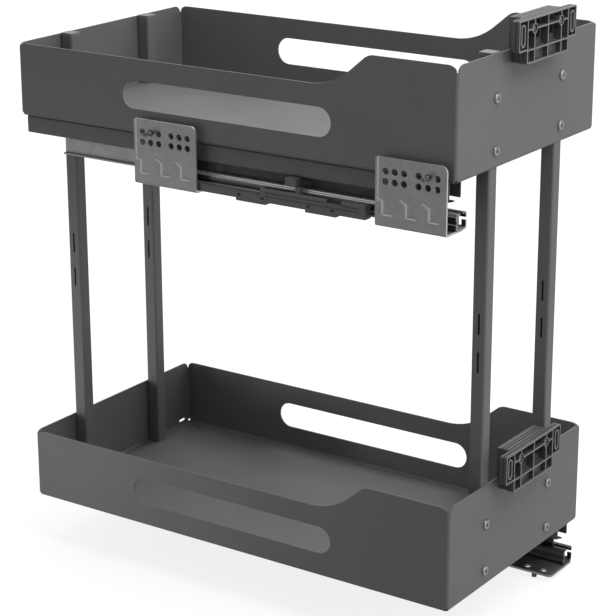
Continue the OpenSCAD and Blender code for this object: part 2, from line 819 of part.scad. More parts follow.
// The cage round the upper flange
module top_cage() {
    axle = -drawer_rail_sheet - roller_space / 2;
    outer = drawer_inner_half - running_gap;
    bottom = -drawer_rail_height + drawer_rail_sheet + running_gap;
    difference() {
        along_y(top_cage_front, top_cage_front + cage_length) {
            translate([-outer, axle - cage_plate / 2]) square([2 * outer, cage_plate]);
            for (side = [-1, 1]) translate([side * (outer - cage_side / 2) - cage_side / 2, bottom])
                square([cage_side, axle - bottom]);
        }
        for (i = [0 : load_rollers - 1])
            translate([0, roller_y(top_cage_front, i), axle])
                cube([2 * load_roller_half(drawer_inner_half) + 2 * pocket_gap, roller_diameter + 2 * pocket_gap,
                      2 * cage_plate], center = true);
    }
}
module top_rollers() {
    half = load_roller_half(drawer_inner_half);
    guide = upper_guide_space - 2 * running_gap;
    for (i = [0 : load_rollers - 1]) translate([0, roller_y(top_cage_front, i), 0]) {
        translate([0, 0, -drawer_rail_sheet - roller_space / 2]) rod_x(-half, half, roller_diameter);
        for (side = [-1, 1]) scale([side, 1, 1])
            translate([0, 0, upper_flange_bottom - upper_guide_space / 2])
                rod_x(middle_web / 2 + running_gap, half, guide);
    }
}
module upper_base_cage() {
    color(dark_plastic) upper_slide() base_cage();
}
module lower_base_cage() {
    color(dark_plastic) lower_slide() base_cage();
}
module upper_top_cage() {
    color(dark_plastic) upper_slide() top_cage();
}
module lower_top_cage() {
    color(dark_plastic) lower_slide() top_cage();
}
module upper_base_rollers() {
    color(steel) upper_slide() base_rollers();
}
module lower_base_rollers() {
    color(steel) lower_slide() base_rollers();
}
module upper_top_rollers() {
    color(steel) upper_slide() top_rollers();
}
module lower_top_rollers() {
    color(steel) lower_slide() top_rollers();
}

// Brackets: side plates for the upper slide, floor brackets for the lower one

rail_rivet_shares = [0.25, 0.75];
rail_rivet_places = [for (share = rail_rivet_shares) floor_front + share * floor_bracket_length];
press_shares = [0.233, 0.551, 0.888];
press_depth = 0.8;
press_reach = 1.5;
press_height = 11;
press_foot = 8;
press_hook = 6;
press_hook_rise = 3.5;
press_base = 11.5;
edge_line_inset = 3;
edge_line_depth = 0.6;
edge_line_reach = 1.2;
dimple_shares = [0.168, 0.486, 0.823];
dimple_diameter = 3;
flange_setback = 2.5;
plate_outer = slide_offset - cabinet_half;
plate_base = slide_base - bracket_sheet;
plate_top = plate_base + bracket_height;
plate_fold = 3;

// An L section with a round outer fold, standing at the cabinet side
module plate_section() {
    translate([plate_outer, plate_base + plate_fold]) square([bracket_sheet, bracket_height - plate_fold]);
    translate([plate_outer + plate_fold, plate_base])
        square([cabinet_rail_width / 2 - flange_setback - plate_outer - plate_fold, bracket_sheet]);
    translate([plate_outer + plate_fold, plate_base + plate_fold]) intersection() {
        difference() {
            circle(plate_fold);
            circle(plate_fold - bracket_sheet);
        }
        translate([-plate_fold, -plate_fold]) square(plate_fold);
    }
}

// A V-shaped line pressed into an upright face at one x, through points given as (y, z). reach is half its width
module pressed_line(x, points, depth, reach) {
    for (i = [1 : len(points) - 1]) {
        run = points[i] - points[i - 1];
        translate([x, points[i - 1].x, points[i - 1].y]) rotate([atan2(run.y, run.x), 0, 0])
            translate([0, norm(run) / 2, 0]) scale([depth / reach, 1, 1]) rotate([0, 45, 0])
                cube([sqrt(2) * reach, norm(run) + reach, sqrt(2) * reach], center = true);
    }
}

// The three stiffening ribs pressed into a side plate, each a hook, an upright and a foot towards the front
module pressed_ribs(x) {
    for (share = press_shares) {
        corner = [bracket_front + share * bracket_length, plate_base + press_base];
        pressed_line(x, [corner + [press_hook, press_height + press_hook_rise], corner + [0, press_height],
                         corner, corner - [press_foot, 0]], press_depth, press_reach);
    }
}
module hole_group() {
    for (i = [-1, 0, 1], j = [0, 1])
        translate([i * hole_pitch, plate_top - hole_drop - j * hole_pitch]) circle(bracket_hole / 2);
}
module side_plate() {
    y0 = bracket_front;
    y1 = bracket_front + bracket_length;
    difference() {
        along_y(y0, y1) plate_section();
        translate([0, y1, plate_top]) along_x(plate_outer - cut, plate_outer + bracket_sheet + cut)
            corner_offcut(bracket_rear_radius);
        translate([0, y0, plate_top]) along_x(plate_outer - cut, plate_outer + bracket_sheet + cut)
            mirror([1, 0]) corner_offcut(bracket_radius);
        along_x(plate_outer - cut, plate_outer + bracket_sheet + cut) {
            for (group = [0, group_pitch]) translate([front_group_y + group, 0]) hole_group();
        }
        pressed_ribs(plate_outer);
        pressed_line(plate_outer, [[y1 - edge_line_inset, plate_top + cut],
                                   [y1 - edge_line_inset, plate_base + press_base + press_height]],
            edge_line_depth, edge_line_reach);
        for (share = dimple_shares)
            translate([plate_outer, y0 + share * bracket_length, plate_base]) sphere(d = dimple_diameter);
        for (y = rail_rivet_places)
            translate([0, y, plate_base - cut])
                cylinder(h = bracket_sheet + 2 * cut, d = rivet_shank + 2 * screw_fit);
    }
    difference() {
        pressed_ribs(plate_outer + bracket_sheet);
        along_x(plate_outer - cut, plate_outer + bracket_sheet - press_depth / 4)
            translate([y0, plate_base]) square([bracket_length, bracket_height]);
    }
}
module side_plate_front() {
    color(zinc) upper_slide() side_plate();
}
module side_plate_rear() {
    color(zinc) upper_slide() translate([0, bracket_pitch, 0]) side_plate();
}

// One wood screw stands ready in the outermost upper middle hole of each side plate
module fixing_screws() {
    color(steel) upper_slide()
        for (y = [front_group_y, front_group_y + group_pitch + bracket_pitch])
            translate([plate_outer + bracket_sheet, y, plate_top - hole_drop]) rotate(90)
                pan_screw(fixing_head, screw_head_height, screw_shank, fixing_reach + bracket_sheet);
}
fixing_reach = 10;
fixing_head = 7.4;

floor_free_edge = -cabinet_rail_width / 2 - floor_reach;
module floor_bracket() {
    difference() {
        translate([(floor_free_edge + cabinet_rail_width / 2) / 2, floor_front + floor_bracket_length / 2,
                   plate_base])
            linear_extrude(bracket_sheet)
                rounded_rect(cabinet_rail_width / 2 - floor_free_edge, floor_bracket_length, floor_corner);
        for (i = [0, 1])
            translate([floor_free_edge + floor_hole_inset,
                       floor_front + floor_hole_start + i * floor_hole_pitch, plate_base - cut])
                cylinder(h = bracket_sheet + 2 * cut, d = floor_hole);
        for (y = rail_rivet_places)
            translate([0, y, plate_base - cut])
                cylinder(h = bracket_sheet + 2 * cut, d = rivet_shank + 2 * screw_fit);
    }
}
module floor_bracket_front() {
    color(zinc) lower_slide() floor_bracket();
}
module floor_bracket_rear() {
    color(zinc) lower_slide() translate([0, bracket_pitch, 0]) floor_bracket();
}
peg_inset = 5.5;
module floor_pegs() {
    color(dark_plastic) lower_slide() for (start = [0, bracket_pitch])
        translate([floor_free_edge + peg_inset,
                   floor_front + start + floor_hole_start + floor_hole_pitch / 2,
                   plate_base - peg_length])
            cylinder(h = peg_length, d = peg_diameter);
}
module rail_fixings() {
    for (start = [0, bracket_pitch], y = rail_rivet_places)
        translate([0, start + y, plate_base])
            cylinder(h = bracket_sheet + cabinet_rail_sheet, d = rivet_shank);
}
module bracket_rivets() {
    color(steel) {
        upper_slide() rail_fixings();
        lower_slide() rail_fixings();
    }
}

// Soft close: a housing beside the cabinet rail with a damper, a spring and a catch that the basket's activator meets

module damper_housing() {
    cavity_front = catch_front - catch_travel - hook_length;
    cavity_width = housing_width - 2 * housing_wall;
    difference() {
        union() {
            translate([-housing_middle, 0, 0]) along_y(housing_front, housing_rear)
                translate([0, slide_base + housing_height / 2])
                    rounded_rect(housing_width, housing_height, housing_wall / 2);
            translate([-housing_middle - case_width / 2, housing_rear - cut, slide_base])
                cube([case_width, damper_case_length + cut, case_height]);
            for (setback = lug_setbacks)
                translate([-housing_inner - housing_width, housing_front + setback - lug_length / 2, plate_base])
                    cube([housing_width, lug_length, lug_height]);
        }
        translate([-housing_inner - housing_width, housing_front, slide_base - cut])
            linear_extrude(housing_height + 2 * cut) rotate(180) corner_offcut(housing_nose_radius);
        for (setback = lug_setbacks, side = [-1, 1])
            translate([0, housing_front + setback + side * lug_hole_pitch / 2, slide_base + lug_hole_rise])
                along_x(-housing_inner - housing_width - cut, -housing_inner - housing_width + lug_hole_depth)
                    rotate(90) obround(lug_hole_width, lug_hole_length);
        translate([-housing_inner - housing_width - cut, cavity_front, housing_top - park_notch_drop])
            cube([cut + 2 * housing_wall, park_notch_length, park_notch_drop + cut]);
        translate([-housing_middle - cavity_width / 2, cavity_front, slide_base + housing_floor])
            cube([cavity_width, housing_rear - housing_wall - cavity_front, housing_height]);
        translate([-housing_middle, 0, rod_height])
            rod_y(housing_rear - 2 * housing_wall, housing_rear + cut, damper_rod + 2 * running_gap);
        translate([-housing_middle, 0, rod_height])
            rod_y(housing_rear, housing_rear + damper_case_length - housing_wall,
                damper_diameter + 2 * screw_fit);
        // Long grooves in the outer face
        for (share = groove_shares)
            translate([-housing_inner - housing_width - cut, housing_front + 3 * housing_wall,
                       slide_base + share * housing_height])
                cube([cut + groove_depth, housing_length - 6 * housing_wall, groove_height]);
    }
}
module upper_damper_housing() {
    color(dark_plastic) upper_slide() damper_housing();
}
module lower_damper_housing() {
    color(dark_plastic) lower_slide() damper_housing();
}

module damper() {
    translate([-housing_middle, 0, rod_height]) difference() {
        rod_y(housing_rear + screw_fit, housing_rear + damper_case_length - housing_wall - screw_fit,
            damper_diameter);
        rod_y(housing_rear - cut, housing_rear + damper_bore, damper_rod + 2 * running_gap);
    }
}
module upper_damper() {
    color(steel) upper_slide() damper();
}
module lower_damper() {
    color(steel) lower_slide() damper();
}

module catch_body() {
    translate([-housing_middle, 0, 0]) difference() {
        union() {
            translate([-catch_width / 2, catch_front, slide_base + housing_floor + running_gap])
                cube([catch_width, catch_length, housing_height - housing_floor - running_gap]);
            translate([-catch_width / 2, catch_front, housing_top - cut])
                cube([catch_width, hook_length, hook_rise + cut]);
        }
        translate([0, 0, rod_height])
            rod_y(catch_front + catch_length / 2, catch_front + catch_length + cut, damper_rod + 2 * screw_fit);
    }
}
module damper_shaft() {
    translate([-housing_middle, 0, rod_height])
        rod_y(catch_front + catch_length / 2 + screw_fit, housing_rear + damper_bore - 2 * housing_wall,
            damper_rod);
}
module upper_catch() {
    color(dark_plastic) upper_slide() catch_body();
}
module lower_catch() {
    color(dark_plastic) lower_slide() catch_body();
}
module upper_damper_rod() {
    color(steel) upper_slide() damper_shaft();
}
module lower_damper_rod() {
    color(steel) lower_slide() damper_shaft();
}

// A tension spring between the catch and the housing's rear wall, swept along a helix
spring_front = catch_front + catch_length;
spring_rear = housing_rear - housing_wall;
spring_height = housing_top - spring_coil - 2 * spring_wire;
spring_rings = spring_turns * spring_ring_steps;
function spring_point(i) =
    let (turn = 360 * i / spring_ring_steps, share = i / spring_rings)
    [spring_coil * cos(turn), spring_front + spring_wire + share * (spring_rear - spring_front - 2 * spring_wire),
     spring_coil * sin(turn)];
function spring_ring(i) =
    let (turn = 360 * i / spring_ring_steps, out = [cos(turn), 0, sin(turn)], along = [0, 1, 0])
    [for (k = [0 : spring_sides - 1]) spring_point(i)
        + spring_wire / 2 * (cos(360 * k / spring_sides) * out + sin(360 * k / spring_sides) * along)];
module catch_spring() {
    points = [for (i = [0 : spring_rings]) each spring_ring(i)];
    faces = concat(
        [[for (k = [0 : spring_sides - 1]) k]],
        [for (i = [0 : spring_rings - 1], k = [0 : spring_sides - 1])
            [i * spring_sides + k, (i + 1) * spring_sides + k,
             (i + 1) * spring_sides + (k + 1) % spring_sides, i * spring_sides + (k + 1) % spring_sides]],
        [[for (k = [spring_sides - 1 : -1 : 0]) spring_rings * spring_sides + k]]);
    translate([-housing_middle, 0, spring_height]) polyhedron(points, faces);
}
module upper_catch_spring() {
    color(steel) upper_slide() catch_spring();
}
module lower_catch_spring() {
    color(steel) lower_slide() catch_spring();
}

// The tab under the drawer rail's lip that reaches over the catch's hook
module activator() {
    tip = housing_top + hook_rise + running_gap + screw_fit;
    reach = housing_middle + catch_width / 2;
    y0 = catch_front + hook_length;
    translate([-reach, y0, -drawer_rail_height - activator_sheet])
        cube([reach - rail_slot_half - rail_radius, activator_length, activator_sheet]);
    translate([-reach, y0, tip]) cube([catch_width, activator_length, -drawer_rail_height - tip]);
}
module upper_activator() {
    color(dark_plastic) upper_slide() activator();
}
module lower_activator() {
    color(dark_plastic) lower_slide() activator();
}

upper_tray();
lower_tray();
post_front_left();
post_front_right();
post_rear_left();
post_rear_right();
post_caps();
upper_tray_screws();
lower_tray_screws();
upper_door_clip();
lower_door_clip();
upper_door_plate();
lower_door_plate();
door_plate_screws();
upper_drawer_rail();
lower_drawer_rail();
drawer_rail_rivets();
upper_activator();
lower_activator();
upper_middle_rail();
lower_middle_rail();
upper_cabinet_rail();
lower_cabinet_rail();
upper_base_cage();
lower_base_cage();
upper_top_cage();
lower_top_cage();
upper_base_rollers();
lower_base_rollers();
upper_top_rollers();
lower_top_rollers();
side_plate_front();
side_plate_rear();
floor_bracket_front();
floor_bracket_rear();
floor_pegs();
bracket_rivets();
fixing_screws();
upper_damper_housing();
lower_damper_housing();
upper_damper();
lower_damper();
upper_catch();
lower_catch();
upper_damper_rod();
lower_damper_rod();
upper_catch_spring();
lower_catch_spring();
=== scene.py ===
"""Looks for a pull-out cabinet basket: coated trays and posts, zinc-plated slides, dark moulded fittings."""
import json
import math

import bmesh
import bpy
from mathutils import Matrix, Vector

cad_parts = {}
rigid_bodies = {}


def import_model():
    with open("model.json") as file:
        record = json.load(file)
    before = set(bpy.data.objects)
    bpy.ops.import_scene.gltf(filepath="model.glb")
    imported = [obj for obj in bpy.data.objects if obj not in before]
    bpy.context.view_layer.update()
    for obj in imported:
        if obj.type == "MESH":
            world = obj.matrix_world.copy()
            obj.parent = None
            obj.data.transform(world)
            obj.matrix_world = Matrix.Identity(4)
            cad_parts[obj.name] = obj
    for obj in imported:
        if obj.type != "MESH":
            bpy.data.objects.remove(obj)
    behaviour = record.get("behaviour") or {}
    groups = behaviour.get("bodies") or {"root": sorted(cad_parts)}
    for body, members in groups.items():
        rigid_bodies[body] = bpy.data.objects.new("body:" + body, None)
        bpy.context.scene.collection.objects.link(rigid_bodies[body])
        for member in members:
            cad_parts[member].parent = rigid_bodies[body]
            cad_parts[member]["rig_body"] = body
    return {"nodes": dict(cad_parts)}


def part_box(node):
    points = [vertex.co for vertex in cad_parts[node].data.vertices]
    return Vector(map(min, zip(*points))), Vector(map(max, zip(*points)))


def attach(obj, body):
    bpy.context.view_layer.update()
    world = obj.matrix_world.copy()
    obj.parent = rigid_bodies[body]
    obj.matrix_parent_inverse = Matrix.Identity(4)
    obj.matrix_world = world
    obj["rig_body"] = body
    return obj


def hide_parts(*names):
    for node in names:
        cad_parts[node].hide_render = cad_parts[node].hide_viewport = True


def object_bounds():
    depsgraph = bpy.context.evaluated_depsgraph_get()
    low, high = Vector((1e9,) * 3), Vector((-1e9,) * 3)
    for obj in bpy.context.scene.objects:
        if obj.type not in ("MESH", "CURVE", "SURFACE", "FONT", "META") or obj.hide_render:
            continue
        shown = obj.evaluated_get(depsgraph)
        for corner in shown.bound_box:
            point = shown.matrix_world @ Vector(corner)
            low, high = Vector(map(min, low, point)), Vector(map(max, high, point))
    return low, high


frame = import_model()
cad_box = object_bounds()
nodes = frame["nodes"]
middle = (cad_box[0] + cad_box[1]) / 2
MM = 0.001

# The camera

PICTURE_SIDE_PX = 616
FOCAL_PX = 2059.98
SENSOR_MM = 36
CAMERA_AZIMUTH, CAMERA_ELEVATION, CAMERA_ROLL = -55.708, 17.987, -0.125
CAMERA_PLACE = Vector((-1613.7, -964.2, 850.6)) * MM
NEAR_CLIP, FAR_CLIP = 0.05, 50


def add_camera():
    """The place and lens that put the basket where the photograph has it."""
    lens = bpy.data.cameras.new("camera")
    lens.sensor_width = SENSOR_MM
    lens.lens = FOCAL_PX / PICTURE_SIDE_PX * SENSOR_MM
    lens.clip_start, lens.clip_end = NEAR_CLIP, FAR_CLIP
    camera = bpy.data.objects.new("camera", lens)
    turn = (Matrix.Rotation(math.radians(CAMERA_AZIMUTH), 4, "Z")
            @ Matrix.Rotation(math.radians(90 - CAMERA_ELEVATION), 4, "X")
            @ Matrix.Rotation(math.radians(CAMERA_ROLL), 4, "Z"))
    camera.matrix_world = Matrix.Translation(CAMERA_PLACE) @ turn
    bpy.context.scene.collection.objects.link(camera)
    bpy.context.scene.camera = camera


add_camera()

# The materials

# Sizes of what repeats. Rolling lines and mould grain are really about 0.1 mm wide, drawn coarser to show.
PEEL_SIZE = 1.6 * MM
ROLLING_SIZE, ROLLING_STRETCH = 0.8 * MM, 0.04
SPARK_SIZE = 0.5 * MM
COAT_CLOUD, ZINC_CLOUD, PLASTIC_CLOUD = 60 * MM, 9 * MM, 25 * MM

# How deep each relief is, and how much of it shows
PEEL_RELIEF = dict(depth=0.05 * MM, strength=0.35)
ROLLING_RELIEF = dict(depth=0.02 * MM, strength=0.25)
SPARK_RELIEF = dict(depth=0.04 * MM, strength=0.3)
EDGE_RADIUS, EDGE_SAMPLES = 0.35 * MM, 4

# The range that noise really keeps to, and how far a roughness strays with it
NOISE_LOW, NOISE_HIGH = 0.3, 0.7
COAT_SMOOTH, COAT_ROUGH = 0.5, 0.62
ZINC_SPREAD, PLASTIC_SPREAD = 0.06, 0.05
# Below 1, because the film of passivation over the zinc is no metal
ZINC_METALLIC = 0.85
# Where along Y the painted shade on the middle rails starts to fade, and where it ends
SHADE_FADE_START, SHADE_END = 95 * MM, 110 * MM
# How far behind the front of a door plate its painted highlight ends
HIGHLIGHT_DEPTH = 0.4 * MM


def linear(colour):
    """A colour written as sRGB hex, as the linear RGBA that the shaders take."""
    parts = [int(colour[i:i + 2], 16) / 255 for i in (1, 3, 5)]
    return [c / 12.92 if c <= 0.04045 else ((c + 0.055) / 1.055) ** 2.4 for c in parts] + [1]


def add_node(owner, kind, inputs, **settings):
    """Adds a shader node to a material or world; an input is given a value, or the socket to link it to."""
    tree = owner.node_tree
    node = tree.nodes.new("ShaderNode" + kind)
    for name, value in settings.items():
        setattr(node, name, value)
    for name, value in inputs.items():
        if isinstance(value, bpy.types.NodeSocket):
            tree.links.new(value, node.inputs[name])
        else:
            node.inputs[name].default_value = value
    return node


def new_material(name):
    material = bpy.data.materials.new(name)
    material.use_nodes = True
    material.node_tree.nodes.clear()
    return material


def close_material(material, shader):
    add_node(material, "OutputMaterial", {"Surface": shader.outputs[0]})
    return material


def grain(material, size, detail, stretch=(1, 1, 1)):
    """Noise with bumps of about one real size, stretched along an axis where the making left streaks."""
    place = add_node(material, "TexCoord", {}).outputs["Object"]
    turned = add_node(material, "Mapping", {"Vector": place, "Scale": stretch}).outputs[0]
    return add_node(material, "TexNoise", {"Vector": turned, "Scale": 1 / size, "Detail": detail}).outputs[0]


def varied(material, noise, low, high):
    """Noise, which keeps near its middle, spread over a whole range."""
    return add_node(material, "MapRange", {"Value": noise, "From Min": NOISE_LOW, "From Max": NOISE_HIGH,
                                           "To Min": low, "To Max": high}).outputs[0]


def clouded(material, cloud, dark, light):
    """A colour that drifts between two near shades, as the thickness of a coat or a film does."""
    return add_node(material, "Mix", {"Factor": varied(material, cloud, 0, 1), "A": linear(dark),
                                      "B": linear(light)}, data_type="RGBA").outputs["Result"]


def place_along(material):
    """How far back along Y a spot of a piece lies."""
    place = add_node(material, "TexCoord", {}).outputs["Object"]
    return add_node(material, "SeparateXYZ", {"Vector": place}).outputs["Y"]


def bumps(material, height, depth, strength):
    """Fine relief on a surface whose edges are broken by a small radius, so that they catch the light."""
    eased = add_node(material, "Bevel", {"Radius": EDGE_RADIUS}, samples=EDGE_SAMPLES).outputs[0]
    return add_node(material, "Bump", {"Height": height, "Distance": depth, "Strength": strength,
                                       "Normal": eased}).outputs[0]


def powder_coat(name, dark, light):
    """Polyester powder coat, sprayed and baked: fine orange peel, which spreads the gloss to a soft sheen."""
    material = new_material(name)
    peel = grain(material, PEEL_SIZE, detail=3)
    cloud = grain(material, COAT_CLOUD, detail=2)
    shader = add_node(material, "BsdfPrincipled", {
        "Base Color": clouded(material, cloud, dark, light),
        "Roughness": varied(material, peel, COAT_SMOOTH, COAT_ROUGH),
        "Normal": bumps(material, peel, **PEEL_RELIEF)})
    return close_material(material, shader)


def bare_and_highlight_faces(material, endward, upward):
    """Where the zinc is painted paler: most on faces that look along Y, partly bare cut ends and partly
    painted highlight, and on faces that look up, painted highlight; less on pressed slopes.
    """
    normal = add_node(material, "NewGeometry", {}).outputs["True Normal"]
    parts = add_node(material, "SeparateXYZ", {"Vector": normal}).outputs
    along = add_node(material, "Math", {0: parts["Y"]}, operation="ABSOLUTE").outputs[0]
    ended = add_node(material, "Math", {0: along, 1: endward}, operation="MULTIPLY").outputs[0]
    raised = add_node(material, "Math", {0: parts["Z"], 1: upward}, operation="MULTIPLY").outputs[0]
    return add_node(material, "Math", {0: ended, 1: raised}, operation="MAXIMUM").outputs[0]


def shaded_stretch(material):
    """1 on the front of a rail, which lies in the recess between the rails and gets painted shade, fading out
    further back.
    """
    return add_node(material, "MapRange", {"Value": place_along(material), "From Min": SHADE_FADE_START,
                                           "From Max": SHADE_END, "To Min": 1, "To Max": 0}).outputs[0]


def zinc_plate(name, dark, light, rough, bare_and_highlight=None, endward=1, upward=1, painted_shade=None):
    """Electroplated zinc on steel: a grey metal with faint rolling lines, clouded by its passivation film.
    Over it go a paler colour, partly bare cut ends and partly painted highlight, which endward and upward
    weigh, and a dark colour, painted shade on the front of a rail."""
    material = new_material(name)
    lines = grain(material, ROLLING_SIZE, detail=2, stretch=(1, ROLLING_STRETCH, 1))
    cloud = grain(material, ZINC_CLOUD, detail=3)
    colour = clouded(material, cloud, dark, light)
    # Dark colour over the front of a rail: painted shade
    if painted_shade:
        colour = add_node(material, "Mix", {"Factor": shaded_stretch(material), "A": colour,
                                            "B": linear(painted_shade)}, data_type="RGBA").outputs["Result"]
    # Paler colour by which way a face looks: partly bare cut ends, partly painted highlight
    if bare_and_highlight:
        colour = add_node(material, "Mix", {"Factor": bare_and_highlight_faces(material, endward, upward), "A": colour,
                                            "B": linear(bare_and_highlight)}, data_type="RGBA").outputs["Result"]
    shader = add_node(material, "BsdfPrincipled", {
        "Base Color": colour,
        "Metallic": ZINC_METALLIC,
        "Roughness": varied(material, cloud, rough - ZINC_SPREAD, rough + ZINC_SPREAD),
        "Normal": bumps(material, lines, **ROLLING_RELIEF)})
    return close_material(material, shader)


def moulded_plastic(name, dark, light, rough, front_highlight=None):
    """Injection-moulded plastic: the spark-eroded mould leaves a fine grain, which makes it even and matt.
    Its last argument is a painted highlight: a paler colour for its front faces, and how far back in Y they
    go."""
    material = new_material(name)
    spark = grain(material, SPARK_SIZE, detail=4)
    cloud = grain(material, PLASTIC_CLOUD, detail=2)
    colour = clouded(material, cloud, dark, light)
    # Paler colour on the front faces: painted highlight
    if front_highlight:
        pale, back = front_highlight
        front = add_node(material, "Math", {0: place_along(material), 1: back},
                         operation="LESS_THAN").outputs[0]
        colour = add_node(material, "Mix", {"Factor": front, "A": colour, "B": linear(pale)},
                          data_type="RGBA").outputs["Result"]
    shader = add_node(material, "BsdfPrincipled", {
        "Base Color": colour,
        "Roughness": varied(material, spark, rough - PLASTIC_SPREAD, rough + PLASTIC_SPREAD),
        "Normal": bumps(material, spark, **SPARK_RELIEF)})
    return close_material(material, shader)


# Matt anthracite powder on the trays and posts, and a darker copy of it on the rails below them, as painted
# shade
coat = powder_coat("powder_coat_anthracite", "#5a5a5a", "#5f5f5f")
shaded_rail_coat = powder_coat("powder_coat_rail_painted_shade", "#4c4c4c", "#525252")
# Zinc on punched plates: mid grey, painted paler on faces that look along Y and up, which lightens their
# edges and pressed lines, partly bare metal and partly painted highlight
zinc = zinc_plate("zinc_plated_brackets", "#6a6a6a", "#767676", 0.42, bare_and_highlight="#b4b4b4")
# Zinc on roll-formed rail: darker, as painted shade under the tray, with a painted highlight on its upper
# faces and ends
shaded_rail_zinc = zinc_plate("zinc_plated_rails_painted_shade", "#444444", "#505050", 0.36, bare_and_highlight="#c8c8c8", endward=0.25)
# Zinc on the middle rails: painted shade over the front, where they sit in the recess between the rails,
# fading out at the back
shaded_middle_zinc = zinc_plate("zinc_plated_middle_rails_painted_shade", "#6c6c6c", "#7a7a7a", 0.4, bare_and_highlight="#8c8c8c", upward=0,
                          painted_shade="#2c2c2c")
# Zinc near the floor: a dark copy on the lower rail, as painted shade under the lower tray, and a paler copy
# on the floor brackets
shaded_lower_zinc = zinc_plate("zinc_plated_lower_rail_painted_shade", "#3e3e3e", "#484848", 0.45)
foot_zinc = zinc_plate("zinc_plated_floor_brackets", "#767676", "#828282", 0.5)
# Zinc on ground rod and drawn wire, which are smooth enough to shine
bright_zinc = zinc_plate("zinc_plated_rods", "#9a9a9a", "#b0b0b0", 0.2)
# Zinc on cold-headed screws and rivets: bright points on the coat, and duller on the wood screws
screw_zinc = zinc_plate("zinc_plated_screws", "#7c7c7c", "#8a8a8a", 0.3)
dark_zinc = zinc_plate("zinc_dull_wood_screws", "#565656", "#626262", 0.35)
# Filled nylon for what bears load, nearly black, with a painted highlight on the front faces of the door
# plates
nylon = moulded_plastic("nylon_dark", "#444444", "#4b4b4b", 0.5)
door_face = min(corner[1] for corner in nodes["upper_door_plate"].bound_box)
door_nylon = moulded_plastic("nylon_door_plates", "#404040", "#474747", 0.5,
                             front_highlight=("#6c6c6c", door_face + HIGHLIGHT_DEPTH))
# Soft polythene caps, a shade paler than the posts, and smooth white acetal rollers
cap_plastic = moulded_plastic("polythene_cap_grey", "#646464", "#6c6c6c", 0.5)
roller_plastic = moulded_plastic("acetal_rollers", "#a4a4a0", "#b0b0ac", 0.35)

FINISHES = {
    coat: ["upper_tray", "lower_tray", "post_front_left", "post_front_right", "post_rear_left",
           "post_rear_right"],
    shaded_rail_coat: ["upper_drawer_rail", "lower_drawer_rail", "drawer_rail_rivets"],
    zinc: ["side_plate_front", "side_plate_rear"],
    shaded_rail_zinc: ["upper_cabinet_rail"],
    shaded_lower_zinc: ["lower_cabinet_rail"],
    foot_zinc: ["floor_bracket_front", "floor_bracket_rear"],
    shaded_middle_zinc: ["upper_middle_rail", "lower_middle_rail"],
    bright_zinc: ["upper_damper", "lower_damper", "upper_damper_rod", "lower_damper_rod",
                  "upper_catch_spring", "lower_catch_spring"],
    screw_zinc: ["upper_tray_screws", "lower_tray_screws", "door_plate_screws", "bracket_rivets"],
    dark_zinc: ["fixing_screws"],
    door_nylon: ["upper_door_plate", "lower_door_plate"],
    nylon: ["upper_door_clip", "lower_door_clip", "upper_activator", "lower_activator",
            "upper_base_cage", "lower_base_cage", "upper_top_cage", "lower_top_cage", "floor_pegs",
            "upper_damper_housing", "lower_damper_housing", "upper_catch", "lower_catch"],
    cap_plastic: ["post_caps"],
    roller_plastic: ["upper_base_rollers", "lower_base_rollers", "upper_top_rollers", "lower_top_rollers"],
}
for finish, names in FINISHES.items():
    for name in names:
        mesh = nodes[name].data
        mesh.materials.clear()
        mesh.materials.append(finish)

# The screws

TRAY_SCREW = dict(head=9 * MM, height=2.2 * MM, shank=4 * MM, reach=9 * MM)
DOOR_SCREW = dict(head=6.6 * MM, height=2.2 * MM, shank=3.5 * MM, reach=11 * MM)
WOOD_SCREW = dict(head=7.4 * MM, height=2.2 * MM, shank=4 * MM, reach=12 * MM)
HEAD_SEGMENTS = 32
HEAD_ROUND_SHARE, HEAD_ROUND_STEPS = 0.7, 5
RECESS_WIDTH_SHARE, RECESS_REACH_SHARE, RECESS_DEPTH_SHARE = 0.17, 0.52, 0.8
RECESS_TAPER = 0.6
THREAD_PITCH, THREAD_HEIGHT = 1.4 * MM, 0.35 * MM
THREAD_ROOT_SHARE = 0.7
TURN_STEPS = 16
# Shares of a pitch at which the thread's ridge starts, peaks and ends
THREAD_START, THREAD_CREST, THREAD_END = 0.2, 0.5, 0.8
# A face counts as part of the head's flat top if it is this level and this near its height
LEVEL_NORMAL = 0.99
SAME_HEIGHT = 0.01 * MM
SMOOTH_DEGREES = 35


def with_borders(faces):
    """Faces together with their edges and corners."""
    return list(dict.fromkeys(part for face in faces for part in (face, *face.edges, *face.verts)))


def cut_recess(mesh, top, width, reach, depth):
    """Presses a cross into a flat top face: eight straight cuts mark it, and it sinks and narrows."""
    height = top.calc_center_median().z
    for side in (width / 2, -width / 2, reach / 2, -reach / 2):
        for normal in ((1, 0, 0), (0, 1, 0)):
            flat = [face for face in mesh.faces if abs(face.normal.z) > LEVEL_NORMAL
                    and abs(face.calc_center_median().z - height) < SAME_HEIGHT]
            bmesh.ops.bisect_plane(mesh, geom=with_borders(flat), plane_co=Vector(normal) * side,
                                   plane_no=normal)
    cross = []
    for face in mesh.faces:
        centre = face.calc_center_median()
        near, far = sorted((abs(centre.x), abs(centre.y)))
        if abs(centre.z - height) < SAME_HEIGHT and near < width / 2 and far < reach / 2:
            cross.append(face)
    sunk = bmesh.ops.extrude_face_region(mesh, geom=with_borders(cross))["geom"]
    floor_verts = [part for part in sunk if isinstance(part, bmesh.types.BMVert)]
    bmesh.ops.translate(mesh, verts=floor_verts, vec=(0, 0, -depth))
    bmesh.ops.scale(mesh, verts=floor_verts, vec=(RECESS_TAPER, RECESS_TAPER, 1))


